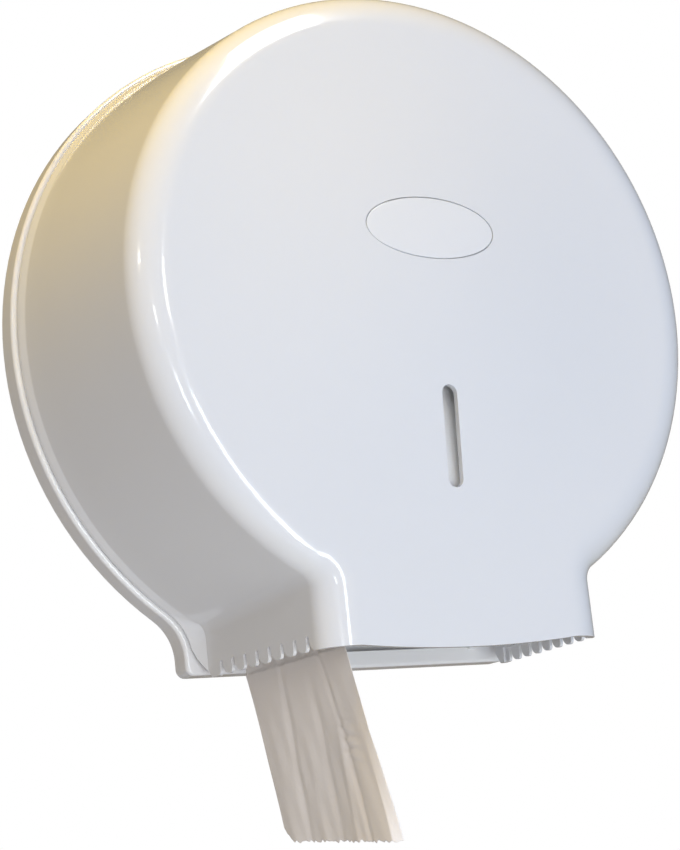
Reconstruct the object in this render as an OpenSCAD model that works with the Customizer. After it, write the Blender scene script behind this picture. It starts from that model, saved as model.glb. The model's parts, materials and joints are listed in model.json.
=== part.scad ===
// Wall dispenser for a jumbo toilet roll: a round back plate with a neck, a hinged front
// cover with a sight slot and tear teeth, a roll on its spindle, and a key lock on top.
//
// Frame: the origin is the roll axis where it meets the wall. X points right seen from
// the front, Z up, and the front faces -Y. "Depth" is the distance out from the wall.

/* [Back plate] */
// Radius of the round rim
rim_r = 155; // [145:0.5:165]
// Half width of the neck under the disc
rim_neck = 85; // [80:0.5:90]
// Radius of the hollow blend between disc and neck
rim_blend = 23; // [18:1:28]
// How far the neck's foot stands above the disc's lowest point
foot_lift = 5.8; // [4:0.1:8]
// Depth of the rim
rim_depth = 11.3; // [10:0.1:12.5]
// Width of the rim's hollow section
rim_band = 7.6; // [7:0.1:8]
// Thickness of every wall of the back plate
plate_wall = 2.4; // [2:0.1:2.6]
// Radius of the neck's two lower corners
rim_corner = 4; // [2:0.5:5]
// Height of the stiffening ribs over the floor
rib_rise = 4; // [2:0.5:5]
// Thickness of the stiffening ribs
rib_thick = 2; // [1.5:0.1:2.5]
// Outer radius of the ring rib
rib_ring_r = 62; // [50:1:70]

/* [Cover] */
// Wall thickness
cover_wall = 2.8; // [2.4:0.1:3]
// How far the lip stands inside the rim's edge
lip_inset = 2.4; // [1.5:0.1:3]
// How far the lip stands inside the plate's neck
neck_inset = 3; // [2:0.1:5]
// Radius of the hollow blend of the lip
lip_blend = 26; // [22:1:28]
// Thickness of the lip's straight edge
lip_edge = 1.4; // [1:0.1:2]
// Depth over which the lip flares in to the side wall
lip_flare = 4.6; // [3.5:0.1:6]
// How far the lip stands out over the round side wall
lip_out = 2; // [1:0.1:3]
// How far the lip stands out over the neck's side wall
lip_neck_out = 6.1; // [5:0.1:7]
// How much the round side wall narrows towards the front
wall_draft = 9.9; // [8:0.1:12]
// How much each side of the neck narrows towards the front
neck_draft = 6.2; // [5:0.1:7]
// Radius of the hollow blend between the side wall and the neck
cover_blend = 8; // [6:1:18]
// How far the cover hangs below the plate
foot_over = 2.1; // [1.5:0.1:3.5]
// How far the front edge bows down in the middle
foot_bow = 2.6; // [1:0.1:4]
// Room between the roll and the edge of the face
face_room = 5.4; // [5:0.1:10]
// How far the face domes out at its middle
dome_rise = 6.6; // [5:0.1:8]
// Depth of the rounding between side wall and face
round_depth = 12; // [9:0.5:14]
// Width of the rounding across the face
round_width = 16.1; // [12:0.1:18]

/* [Cover details] */
// Half width of the sight slot
slot_half = 3.8; // [3:0.1:5]
// Top of the sight slot
slot_top = -42.2; // [-48:0.1:-36]
// Bottom of the sight slot
slot_bottom = -86.4; // [-92:0.1:-80]
// Height of the oval badge over the roll axis
badge_z = 27.8; // [24:0.1:32]
// Half width of the badge
badge_half_w = 32.2; // [28:0.1:36]
// Half height of the badge
badge_half_h = 13.9; // [12:0.1:15]
// Thickness of the badge
badge_thick = 1.2; // [1:0.1:1.6]
// Distance from one tooth gap to the next
tooth_pitch = 9.5; // [8:0.1:11]
// Depth of the first tooth gap
tooth_start = 28.5; // [27:0.1:30]
// Width of the slit between two teeth
tooth_gap = 2.2; // [1.5:0.1:3]
// Flat left at the tip of a tooth
tooth_tip = 1.3; // [0.8:0.1:2]
// Radius of a tooth's front corner
tooth_toe = 1.2; // [0.6:0.1:1.4]
// Height of a tooth gap
tooth_rise = 6.4; // [5:0.1:8]

/* [Hinge] */
// Depth of the hinge axis
hinge_depth = 41.5; // [39:0.1:44]
// Height of the hinge axis over the plate's foot
hinge_rise = 18.2; // [17:0.1:20]
// Radius of the hinge pins
pin_r = 3; // [2.5:0.1:3.5]
// Running clearance of a pin in the cover's boss
pin_play = 0.06; // [0.03:0.01:0.1]
// Thickness of a hinge ear
ear_thick = 4; // [3:0.5:4.5]
// Material of an ear round its pin
ear_round = 5; // [4:0.5:5.5]
// How far a hinge boss stands in from the cover's wall
boss_long = 4.2; // [3:0.1:5]

/* [Paper roll] */
// Radius of the part-used roll
roll_r = 90; // [70:1:92]
// Width of the paper
paper_w = 90; // [86:1:91]
// Bore radius of the cardboard core
core_bore = 38; // [36:0.5:42]
// Thickness of the cardboard core
core_wall = 1.8; // [1:0.1:2.5]
// Thickness of the paper tail
tail_thick = 0.6; // [0.4:0.1:1]
// Room between the tail and the left hinge pin
tail_room = 5.6; // [2:0.1:8]
// Lower end of the tail, below the roll axis
tail_end = 230; // [200:1:240]

/* [Spindle] */
// Outer radius of the spindle tube
spindle_r = 19; // [16:0.5:20]
// Wall of the spindle tube
spindle_wall = 3; // [2:0.1:4]
// Material left outside the foot screws' heads
foot_edge = 1.3; // [1:0.1:4]
// Thickness of the spindle's foot
foot_thick = 3; // [2.5:0.1:3.2]
// Height of the pedestal under the foot
pedestal = 10; // [9:0.1:12]
// Running clearance of the adapter on the spindle
spindle_play = 0.08; // [0.03:0.01:0.1]
// Wall of the adapter's hub, round the spindle
hub_wall = 3; // [2:0.1:4]
// How far the retaining cap laps over the adapter's hub
cap_lap = 3.9; // [2:0.1:6]

/* [Lock] */
// Depth of the lock's upright axis
lock_depth = 30; // [29:0.5:31]
// Radius of the lock barrel
barrel_r = 7.5; // [7:0.1:7.6]
// Radius of the turning plug
plug_r = 5; // [4.5:0.1:5.2]
// Length of the cam from the lock's axis
cam_reach = 18; // [16:0.5:19]
// Thickness of the cam
cam_thick = 2.2; // [2:0.1:2.6]

/* [Wall screws] */
// Radius of the wall screw holes
wall_hole_r = 2.75; // [2.5:0.05:3.5]
// End-to-end length of the upper slotted holes
wall_slot = 12; // [9:0.5:14]
// Distance between the two holes of a pair
wall_pair = 110; // [104:1:114]
// Height of the upper pair over the roll axis
wall_top = 95; // [93:1:100]
// Height of the lower pair under the roll axis
wall_low = 77; // [76:1:84]

/* [Clearances] */
// Gap between the cover's lip and the rim
lip_gap = 0.5; // [0.3:0.1:1]
// Gap between parts that only pass or seat on each other
fit_gap = 0.1; // [0.05:0.01:0.2]
// Gap between moving parts that pass each other
run_gap = 0.4; // [0.3:0.05:0.6]

/* [Hidden] */

// How finely round things are drawn
$fn = 96;
arc_steps = 26;
blend_steps = 6;
foot_steps = 4;
round_steps = 6;
face_rings = [0.86, 0.68, 0.5, 0.3];
badge_points = 48;

// Height of the blend's centre: it touches the disc and the neck's side
function blend_z(r, neck, blend) = -sqrt(pow(r + blend, 2) - pow(neck + blend, 2));

// Screws
screw_r = 1.6;
screw_head_r = 3.1;
screw_head = 1.8;
screw_bite = 8;
cross_w = 0.8;
cross_deep = 0.9;
cross_long = 3.4;

// The roll and what carries it, from the wall forwards
adapter_hub_r = spindle_r + spindle_play + hub_wall;
foot_pcr = adapter_hub_r + screw_head_r + run_gap;
foot_r = foot_pcr + screw_head_r + foot_edge;
roll_back = pedestal + foot_thick + screw_head + run_gap;
roll_front = roll_back + paper_w;
adapter_back = pedestal + foot_thick + run_gap + fit_gap;
adapter_r = core_bore - fit_gap;
adapter_wall = 2;
adapter_flange_r = core_bore + 6;
spindle_top = roll_front - 0.6;
spindle_web = 3;
cap_r = adapter_hub_r + cap_lap;
cap_back = roll_front + run_gap;
cap_thick = 2.4;
cap_bore_r = screw_r + 0.5;
cap_plug_r = spindle_r - 0.5;

// The plate's neck, and the cover from the rim forwards
rim_drop = rim_r - foot_lift;
cover_drop = rim_drop + foot_over;
lip_r = rim_r - lip_inset;
lip_neck = rim_neck - neck_inset;
wall_r = lip_r - lip_out;
wall_neck = lip_neck - lip_neck_out;
front_r = wall_r - wall_draft;
front_neck = wall_neck - neck_draft;
lip_depth = rim_depth + lip_gap;
wall_depth = lip_depth + lip_edge + lip_flare;
face_depth = roll_front + face_room;
shoulder_depth = face_depth - round_depth;
dome_r = front_r - round_width;
// Middle from which the face's rings grow: the whole outline can be seen from there
face_mid_z = -45;
past_edge = 8;
// As many tooth gaps as fit on the straight part of the neck's wall
tooth_gaps = floor((shoulder_depth - tooth_start - tooth_gap / 2) / tooth_pitch) + 1;
// The cover's lower rear corners are cut to this arc about the hinge, so they clear the plate
relief_r = hinge_depth - lip_depth;
// How far the side wall has narrowed at a depth, as a share of its draft
function drafted(depth) = (depth - wall_depth) / (shoulder_depth - wall_depth);

// The hinge: an ear of the plate, then the cover's boss, fused to the inside of its wall
hinge_z = hinge_rise - rim_drop;
hinge_wall_neck = wall_neck - neck_draft * drafted(hinge_depth);
hinge_blend_z = blend_z(wall_r - wall_draft * drafted(hinge_depth), hinge_wall_neck, cover_blend);
hinge_over = max(0, hinge_z - hinge_blend_z);
wall_at_hinge = hinge_wall_neck + cover_blend - sqrt(pow(cover_blend, 2) - pow(hinge_over, 2));
boss_out = wall_at_hinge - cover_wall / 2;
boss_in = wall_at_hinge - cover_wall - boss_long;
boss_r = pin_r + 4;
ear_out = boss_in - run_gap;
ear_in = ear_out - ear_thick;
ear_r = pin_r + ear_round;
ear_root = ear_r + 5;
pin_head_r = pin_r + 1.6;
pin_head = 1.2;
pin_tip = wall_at_hinge - cover_wall - run_gap;

// The lock, from the cover's top wall down to the cam
lock_wall = wall_r - wall_draft * drafted(lock_depth);
lock_pad_r = barrel_r + 4;
lock_pad_top = lock_wall + 2.3;
lock_pad_bottom = lock_pad_top - 9.4;
barrel_flange_r = barrel_r + 2.5;
barrel_flange = 1.5;
barrel_bottom = lock_pad_bottom - 9.2;
barrel_play = 0.15;
plug_play = 0.06;
plug_sunk = 0.4;
key_slot = [1.4, 6.8, 8];
nut_thick = 3.6;
nut_corner_r = barrel_r + 3.1;
cam_top = barrel_bottom - 2;
cam_bottom = cam_top - cam_thick;
cam_hub_r = plug_r + 1.4;
cam_half_w = 4;
tang_half = plug_r * 0.58;
washer_r = cam_hub_r - 1;
washer_thick = 0.9;
cam_screw_r = 1.5;
cam_screw_head_r = 3.2;
cam_screw_head = 2.3;
cam_screw_bite = 8;

// The keeper the cam turns behind
strike_z = cam_bottom - 1.6;
strike_half_h = 5;
strike_wall = 2.2;
strike_lip_x = barrel_r + 1;
strike_leg_x = cam_reach + 4;
strike_foot = 17;
strike_foot_x = strike_leg_x + strike_foot;
strike_pad = plate_wall + 3.6;
strike_pad_edge = 2;
strike_front = lock_depth + cam_half_w + 1.5 + strike_wall;
strike_screw_x = [for (share = [0.38, 0.74]) strike_leg_x + strike_foot * share];

// The upper rib that centres the closed cover
guide_r = wall_r - cover_wall - 0.8;
guide_wall = 1.8;
guide_depth = rim_depth + 4.2;

// Pads round the wall screws
wall_pad_r = wall_hole_r + 6.75;
wall_pad = plate_wall + 3.6;

// The paper's way out: from the roll to a bend above the left hinge ear, and down past it
tail_x = ear_in - pin_head - tail_room;
bend_z = hinge_z + ear_root + 4;
mouth_z = 1.3 - cover_drop;
leave_r = roll_r + run_gap + tail_thick / 2;
leave_a = atan2(bend_z, -tail_x) + 360 - acos(leave_r / norm([tail_x, bend_z]));
leave_x = leave_r * cos(leave_a);
leave_z = leave_r * sin(leave_a);
tail_steps = 10;
tail_lean = 21.3;
tail_drift = 3;
tail_mouth_depth = rim_depth + run_gap;

// A tooth's rear corner is rounded as far as its tip allows
tooth_heel = tooth_pitch - tooth_gap - tooth_tip - tooth_toe;

// How far a cut runs on past what it cuts
past = 1;

// ------------------------------------------------------------------ placing helpers

// Stands an outline drawn in X and Z on the wall plane, from one depth to another
module stand(from, to)
    rotate([90, 0, 0]) translate([0, 0, from]) linear_extrude(to - from) children();

// A round bar pointing out from the wall
module bar_y(r, from, to, x = 0, z = 0)
    translate([x, -from, z]) rotate([90, 0, 0]) cylinder(r = r, h = to - from);

// A round bar along the hinge's axis
module bar_x(r, from, to)
    translate([from, -hinge_depth, hinge_z]) rotate([0, 90, 0]) cylinder(r = r, h = to - from);

// A round upright bar on the lock's axis
module bar_z(r, from, to) translate([0, -lock_depth, from]) cylinder(r = r, h = to - from);

// A shape drawn in Y and Z, laid across the dispenser from one X to another
module across(from, to)
    translate([from, 0, 0]) rotate([90, 0, 90]) linear_extrude(to - from) children();

// ------------------------------------------------------------------ outlines

// The back plate's outline, drawn in by "inset" all round
module plate_outline(inset = 0) {
    r = rim_r - inset;
    neck = rim_neck - inset;
    blend = rim_blend + inset;
    drop = rim_drop - inset;
    corner = max(rim_corner - inset, 1);
    centre_z = blend_z(r, neck, blend);
    intersection() {
        circle(r = r);
        translate([-r, -drop]) square([2 * r, drop + r]);
    }
    translate([-neck, -drop + corner]) square([2 * neck, drop - corner]);
    translate([-neck + corner, -drop]) square([2 * (neck - corner), drop]);
    for (side = [-1, 1]) {
        translate([side * (neck - corner), -drop + corner]) circle(r = corner);
        difference() {
            polygon([[0, 0], [side * (neck + blend), centre_z], [0, centre_z]]);
            translate([side * (neck + blend), centre_z]) circle(r = blend);
        }
    }
}

// Right half of the cover's outline: over the disc, round the blend, down the neck and along the foot
function half_outline(r, neck, blend, drop, bow) =
    let (cx = neck + blend, cz = blend_z(r, neck, blend), turn = atan2(cz, cx))
    concat(
        [for (i = [0:arc_steps]) let (a = 90 + (turn - 90) * i / arc_steps) [r * cos(a), r * sin(a)]],
        [
            for (i = [1:blend_steps])
                let (a = 180 + turn * (1 - i / blend_steps)) [cx + blend * cos(a), cz + blend * sin(a)]
        ],
        [
            for (i = [0:foot_steps])
                let (x = neck * (1 - i / foot_steps)) [x, -drop - bow * (1 - pow(x / neck, 2))]
        ]
    );

function whole_outline(half) = concat(half, [for (i = [len(half) - 2:-1:1]) [-half[i][0], half[i][1]]]);

function outline_at(r, neck, blend, drop) = whole_outline(half_outline(r, neck, blend, drop, foot_bow));

// Rise of the domed face over its edge
function dome(x, z) = dome_rise * pow(cos(90 * min(1, norm([x, z]) / dome_r)), 2);

function ring_at(outline, depth) = [for (p = outline) [p[0], -depth, p[1]]];

// One ring of the domed face, drawn in towards its middle by "scale"
function face_ring(edge, scale, depth) = [
    for (p = edge)
        let (x = p[0] * scale, z = face_mid_z + (p[1] - face_mid_z) * scale) [x, -depth - dome(x, z), z]
];

// Joins rings of equal length into one closed solid, with a flat rear and a pointed front
module loft(rings, tip) {
    n = len(rings[0]);
    last = (len(rings) - 1) * n;
    points = concat([for (ring = rings) each ring], [tip]);
    faces = concat(
        [[for (i = [n - 1:-1:0]) i]],
        [
            for (k = [0:len(rings) - 2], i = [0:n - 1])
                [k * n + i, k * n + (i + 1) % n, (k + 1) * n + (i + 1) % n]
        ],
        [
            for (k = [0:len(rings) - 2], i = [0:n - 1])
                [k * n + i, (k + 1) * n + (i + 1) % n, (k + 1) * n + i]
        ],
        [for (i = [0:n - 1]) [last + i, last + (i + 1) % n, last + n]]
    );
    polyhedron(points = points, faces = faces, convexity = 6);
}

// The cover's form, drawn in by "inset" on every side, and run on past its open rear and foot
module cover_form(inset, past) {
    drop = cover_drop + past;
    edge_neck = front_neck - round_width - inset;
    edge = outline_at(dome_r - inset, edge_neck, cover_blend + round_width + inset, drop);
    face = face_depth - inset;
    rings = concat(
        [
            for (depth = [lip_depth - past, lip_depth + lip_edge])
                ring_at(outline_at(lip_r - inset, lip_neck - inset, lip_blend + inset, drop), depth)
        ],
        [ring_at(outline_at(wall_r - inset, wall_neck - inset, cover_blend + inset, drop), wall_depth)],
        [
            for (k = [0:round_steps])
                let (
                    a = 90 * k / round_steps,
                    draw = inset + round_width * (1 - cos(a)),
                    depth = face - round_depth + round_depth * sin(a)
                )
                ring_at(outline_at(front_r - draw, front_neck - draw, cover_blend + draw, drop), depth)
        ],
        [for (s = face_rings) face_ring(edge, s, face)]
    );
    loft(rings, [0, -face - dome(0, face_mid_z), face_mid_z]);
}

// A thin plate that follows the domed face, with an oval outline
module face_oval(half_w, half_h, sunk, thick) {
    ovals = [0.35, 0.7, 1];
    n = badge_points;
    skin_point = function(s, i, back)
        let (x = half_w * s * sin(360 * i / n), z = badge_z + half_h * s * cos(360 * i / n))
        [x, -face_depth - dome(x, z) + sunk + back, z];
    front = [for (s = ovals, i = [0:n - 1]) skin_point(s, i, 0)];
    rear = [for (s = ovals, i = [0:n - 1]) skin_point(s, i, thick)];
    rings = len(ovals);
    base = rings * n;
    tips = 2 * base;
    points = concat(front, rear, [skin_point(0, 0, 0), skin_point(0, 0, thick)]);
    faces = concat(
        [for (i = [0:n - 1]) [i, (i + 1) % n, tips]],
        [for (i = [0:n - 1]) [base + (i + 1) % n, base + i, tips + 1]],
        [
            for (k = [0:rings - 2], i = [0:n - 1])
                [(k + 1) * n + i, (k + 1) * n + (i + 1) % n, k * n + (i + 1) % n]
        ],
        [for (k = [0:rings - 2], i = [0:n - 1]) [(k + 1) * n + i, k * n + (i + 1) % n, k * n + i]],
        [
            for (k = [0:rings - 2], i = [0:n - 1])
                [base + k * n + i, base + k * n + (i + 1) % n, base + (k + 1) * n + i]
        ],
        [
            for (k = [0:rings - 2], i = [0:n - 1])
                [base + k * n + (i + 1) % n, base + (k + 1) * n + (i + 1) % n, base + (k + 1) * n + i]
        ],
        [for (i = [0:n - 1]) let (e = base - n) [base + e + i, base + e + (i + 1) % n, e + (i + 1) % n]],
        [for (i = [0:n - 1]) let (e = base - n) [base + e + i, e + (i + 1) % n, e + i]]
    );
    polyhedron(points = points, faces = faces, convexity = 4);
}

// ------------------------------------------------------------------ back plate

// Channel section all round: outer wall, front land and inner wall, open towards the wall
module rim_section() {
    inner = rim_band - plate_wall;
    stand(0, rim_depth) difference() {
        plate_outline();
        plate_outline(plate_wall);
    }
    stand(rim_depth - plate_wall, rim_depth) difference() {
        plate_outline(plate_wall / 2);
        plate_outline(rim_band);
    }
    stand(0, rim_depth) difference() {
        plate_outline(inner);
        plate_outline(rim_band);
    }
}

module hinge_ear(side) {
    from = side > 0 ? ear_in : -ear_out;
    across(from, from + ear_thick) {
        translate([-hinge_depth, hinge_z]) circle(r = ear_r);
        polygon([
            [0, hinge_z + ear_root], [-hinge_depth, hinge_z + ear_r],
            [-hinge_depth, hinge_z - ear_r], [0, hinge_z - ear_root]
        ]);
    }
}

module wall_slots(r, from, to) {
    run = wall_slot / 2 - wall_hole_r;
    for (side = [-1, 1]) stand(from, to) translate([side * wall_pair / 2, wall_top]) {
        translate([-run, 0]) circle(r = r);
        translate([run, 0]) circle(r = r);
        translate([-run, -r]) square([2 * run, 2 * r]);
    }
}

module wall_rounds(r, from, to)
    for (side = [-1, 1]) bar_y(r, from, to, side * wall_pair / 2, -wall_low);

module foot_screw_places()
    for (a = [45:90:315]) translate([foot_pcr * cos(a), 0, foot_pcr * sin(a)]) children();

module strike_screw_places() for (x = strike_screw_x) translate([x, 0, strike_z]) children();

module back_plate() color([0.9, 0.91, 0.93]) difference() {
    union() {
        rim_section();
        stand(0, plate_wall) plate_outline(rim_band - plate_wall);
        // Ribs that stiffen the floor: a ring, and spokes out to the rim
        stand(plate_wall / 2, plate_wall + rib_rise) {
            difference() {
                circle(r = rib_ring_r);
                circle(r = rib_ring_r - rib_thick);
            }
            for (a = [0, 30, 90, 150, 180, 210, 330])
                rotate(a) translate([foot_r - rib_thick, -rib_thick / 2])
                    square([rim_r - rim_band - foot_r + 2 * rib_thick, rib_thick]);
        }
        bar_y(foot_r + rib_thick, 0, pedestal);
        wall_slots(wall_pad_r, 0, wall_pad);
        wall_rounds(wall_pad_r, 0, wall_pad);
        stand(0, strike_pad)
            translate([strike_leg_x - strike_pad_edge, strike_z - strike_half_h - strike_pad_edge / 2])
                square([strike_foot + 2 * strike_pad_edge, 2 * strike_half_h + strike_pad_edge]);
        // Guide rib under the closed cover's upper half
        intersection() {
            stand(plate_wall / 2, guide_depth) difference() {
                circle(r = guide_r);
                circle(r = guide_r - guide_wall);
            }
            translate([-rim_r, -2 * rim_depth, 0]) cube([2 * rim_r, 2 * rim_depth, rim_r]);
        }
        for (side = [-1, 1]) hinge_ear(side);
    }
    for (side = [0, 1]) mirror([side, 0, 0]) bar_x(pin_r + fit_gap / 2, ear_in - past, ear_out + past);
    wall_slots(wall_hole_r, -past, wall_pad + past);
    wall_rounds(wall_hole_r, -past, wall_pad + past);
    foot_screw_places() bar_y(screw_r + fit_gap, pedestal - screw_bite, pedestal + past);
    strike_screw_places() bar_y(screw_r + fit_gap, plate_wall / 2, strike_pad + past);
}

module lock_strike() color([0.72, 0.73, 0.75]) difference() {
    translate([0, 0, strike_z - strike_half_h]) linear_extrude(2 * strike_half_h) {
        translate([strike_leg_x, -strike_pad - strike_wall]) square([strike_foot, strike_wall]);
        translate([strike_leg_x, -strike_front]) square([strike_wall, strike_front - strike_pad]);
        translate([strike_lip_x, -strike_front])
            square([strike_leg_x + strike_wall - strike_lip_x, strike_wall]);
    }
    strike_screw_places() bar_y(screw_r + fit_gap, strike_pad - past, strike_pad + strike_wall + past);
}

// A pan-head screw pointing at the wall, its head seated at the given depth
module screw_at(seat, bite) difference() {
    union() {
        bar_y(screw_r, seat - bite, seat + screw_head / 2);
        bar_y(screw_head_r - 0.6, seat, seat + screw_head);
        bar_y(screw_head_r, seat, seat + screw_head * 0.6);
    }
    for (a = [0, 90]) translate([0, -seat - screw_head, 0]) rotate([0, a, 0])
        cube([cross_long, 2 * cross_deep, cross_w], center = true);
}

module strike_screws() color([0.78, 0.79, 0.8])
    strike_screw_places() screw_at(strike_pad + strike_wall, strike_wall + strike_pad - plate_wall);

module hinge_pin(side) mirror([side > 0 ? 0 : 1, 0, 0]) {
    bar_x(pin_r, ear_in - pin_head / 2, pin_tip);
    bar_x(pin_head_r, ear_in - pin_head, ear_in);
}

module hinge_pin_left() color([0.75, 0.76, 0.78]) hinge_pin(-1);

module hinge_pin_right() color([0.75, 0.76, 0.78]) hinge_pin(1);

// ------------------------------------------------------------------ spindle and roll

module spindle() color([0.86, 0.87, 0.88]) difference() {
    union() {
        bar_y(foot_r, pedestal, pedestal + foot_thick);
        bar_y(spindle_r, pedestal, spindle_top);
    }
    bar_y(spindle_r - spindle_wall, pedestal - past, spindle_top - spindle_web);
    bar_y(screw_r + fit_gap, spindle_top - spindle_web - past, spindle_top + past);
    foot_screw_places() bar_y(screw_r + fit_gap, pedestal - past, pedestal + foot_thick + past);
}

module spindle_screws() color([0.78, 0.79, 0.8])
    foot_screw_places() screw_at(pedestal + foot_thick, foot_thick + screw_bite - past);

module spindle_cap() color([0.86, 0.87, 0.88]) difference() {
    union() {
        bar_y(cap_r, cap_back, cap_back + cap_thick);
        bar_y(cap_plug_r, spindle_top, cap_back + cap_thick / 2);
    }
    bar_y(cap_bore_r, spindle_top - past, cap_back + cap_thick + past);
}

module cap_screw() color([0.78, 0.79, 0.8])
    screw_at(cap_back + cap_thick, cap_back + cap_thick - spindle_top + spindle_web - 0.5);

module core_adapter() color([0.55, 0.58, 0.62]) difference() {
    union() {
        bar_y(adapter_hub_r, adapter_back, roll_front);
        difference() {
            union() {
                bar_y(adapter_flange_r, adapter_back, roll_back - fit_gap);
                bar_y(adapter_r, adapter_back, roll_front);
            }
            bar_y(adapter_r - adapter_wall, adapter_back - past, roll_front + past);
        }
        // Webs from the hub to the outer tube, clear of the foot screws' heads
        intersection() {
            stand(roll_back, roll_front - 2 * adapter_wall) for (a = [0:60:300])
                rotate(a) translate([0, -adapter_wall / 2])
                    square([adapter_r - adapter_wall / 2, adapter_wall]);
            bar_y(adapter_r - adapter_wall / 2, adapter_back - past, roll_front + past);
        }
    }
    bar_y(spindle_r + spindle_play, adapter_back - past, roll_front + past);
}

module paper_core() color([0.66, 0.54, 0.4]) difference() {
    bar_y(core_bore + core_wall, roll_back, roll_front);
    bar_y(core_bore, roll_back - past, roll_front + past);
}

module paper_roll() color([0.93, 0.92, 0.9]) difference() {
    bar_y(roll_r, roll_back, roll_front);
    bar_y(core_bore + core_wall + fit_gap, roll_back - past, roll_front + past);
}

// The tail leaves the roll on its left side, hangs past the hinge and leans forwards.
// Each station is [left of the middle, height, depth of its rear edge].
function tail_back(z) = roll_back + (tail_mouth_depth - roll_back) * (z - leave_z) / (mouth_z - leave_z);
tail_path = concat(
    [
        for (t = [0, 0.35, 0.7, 0.9])
            let (x = leave_x + (-tail_x - leave_x) * t, z = leave_z + (bend_z - leave_z) * t)
                [x, z, tail_back(z)]
    ],
    [for (z = [bend_z - 2, (bend_z + mouth_z) / 2]) [-tail_x, z, tail_back(z)]],
    [
        for (i = [0:tail_steps]) let (t = i / tail_steps) [
            tail_drift * (1 - pow(1 - t, 2)) - tail_x,
            mouth_z + (-tail_end - mouth_z) * t,
            tail_mouth_depth + tail_lean * t
        ]
    ]
);

module paper_tail() color([0.8, 0.77, 0.73]) {
    n = len(tail_path);
    half = tail_thick / 2;
    e = 4 * (n - 1);
    sides = [[-half, 0], [half, 0], [half, 1], [-half, 1]];
    points = [for (p = tail_path, s = sides) [p[0] + s[0], -p[2] - s[1] * paper_w, p[1]]];
    faces = concat(
        [[3, 2, 1], [3, 1, 0]],
        [
            for (k = [0:n - 2], j = [0:3])
                [4 * k + j, 4 * k + (j + 1) % 4, 4 * (k + 1) + (j + 1) % 4]
        ],
        [for (k = [0:n - 2], j = [0:3]) [4 * k + j, 4 * (k + 1) + (j + 1) % 4, 4 * (k + 1) + j]],
        [[e, e + 1, e + 2], [e, e + 2, e + 3]]
    );
    polyhedron(points = points, faces = faces, convexity = 4);
}

// ------------------------------------------------------------------ front cover

module cover_shell() difference() {
    cover_form(0, 0);
    cover_form(cover_wall, past_edge);
}

// One tooth gap, drawn in Y and Z: a slit that opens out forwards, as each tooth leans forwards
module tooth_gap_outline() {
    half = tooth_gap / 2;
    below = 2 * foot_bow;
    translate([0, tooth_rise - half]) circle(r = half);
    translate([-half, -below]) square([tooth_gap, tooth_rise - half + below]);
    difference() {
        translate([-half - tooth_heel, -below]) square([tooth_heel + half, tooth_heel + below]);
        translate([-half - tooth_heel, tooth_heel]) circle(r = tooth_heel);
    }
    difference() {
        translate([0, -below]) square([half + tooth_toe, tooth_toe + below]);
        translate([half + tooth_toe, tooth_toe]) circle(r = tooth_toe);
    }
}

module front_cover() color([0.9, 0.92, 0.95]) difference() {
    union() {
        cover_shell();
        for (side = [0, 1]) mirror([side, 0, 0]) bar_x(boss_r, boss_in, boss_out);
        bar_z(lock_pad_r, lock_pad_bottom, lock_pad_top);
    }
    for (side = [0, 1]) mirror([side, 0, 0]) bar_x(pin_r + pin_play, boss_in - past, pin_tip + run_gap);
    bar_z(barrel_r + barrel_play, lock_pad_bottom - past, lock_pad_top + past);
    // Lower rear corners, cut to an arc about the hinge
    across(-rim_neck, rim_neck) difference() {
        translate([-hinge_depth, hinge_z - relief_r - past_edge])
            square([hinge_depth, relief_r + past_edge]);
        translate([-hinge_depth, hinge_z]) circle(r = relief_r);
    }
    across(-rim_neck, rim_neck) for (i = [0:tooth_gaps - 1])
        translate([-tooth_start - tooth_pitch * i, -cover_drop]) tooth_gap_outline();
    stand(face_depth - 2 * cover_wall, face_depth + 2 * dome_rise) hull() {
        translate([0, slot_top - slot_half]) circle(r = slot_half);
        translate([0, slot_bottom + slot_half]) circle(r = slot_half);
    }
    face_oval(badge_half_w + fit_gap, badge_half_h + fit_gap, -cover_wall, 2 * cover_wall + badge_thick);
}

module badge_plate() color([0.93, 0.94, 0.96]) face_oval(badge_half_w, badge_half_h, 0, badge_thick);

// ------------------------------------------------------------------ lock

module lock_barrel() color([0.75, 0.76, 0.78]) difference() {
    union() {
        bar_z(barrel_r, barrel_bottom, lock_pad_top + barrel_flange / 2);
        bar_z(barrel_flange_r, lock_pad_top, lock_pad_top + barrel_flange);
    }
    bar_z(plug_r + plug_play, barrel_bottom - past, lock_pad_top + barrel_flange + past);
}

module lock_nut() color([0.7, 0.71, 0.73]) difference() {
    translate([0, -lock_depth, lock_pad_bottom - nut_thick - fit_gap])
        cylinder(r = nut_corner_r, h = nut_thick, $fn = 6);
    bar_z(barrel_r + fit_gap, lock_pad_bottom - nut_thick - past, lock_pad_bottom);
}

module lock_plug() color([0.8, 0.81, 0.83]) difference() {
    union() {
        bar_z(plug_r, cam_top, lock_pad_top + barrel_flange - plug_sunk);
        translate([-tang_half, -lock_depth - tang_half, cam_bottom])
            cube([2 * tang_half, 2 * tang_half, cam_thick + past]);
    }
    translate([-key_slot[0] / 2, -lock_depth - key_slot[1] / 2, lock_pad_top - key_slot[2]])
        cube([key_slot[0], key_slot[1], key_slot[2] + barrel_flange + past]);
    bar_z(cam_screw_r + fit_gap, cam_bottom - past, cam_bottom + cam_screw_bite + past);
}

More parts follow.
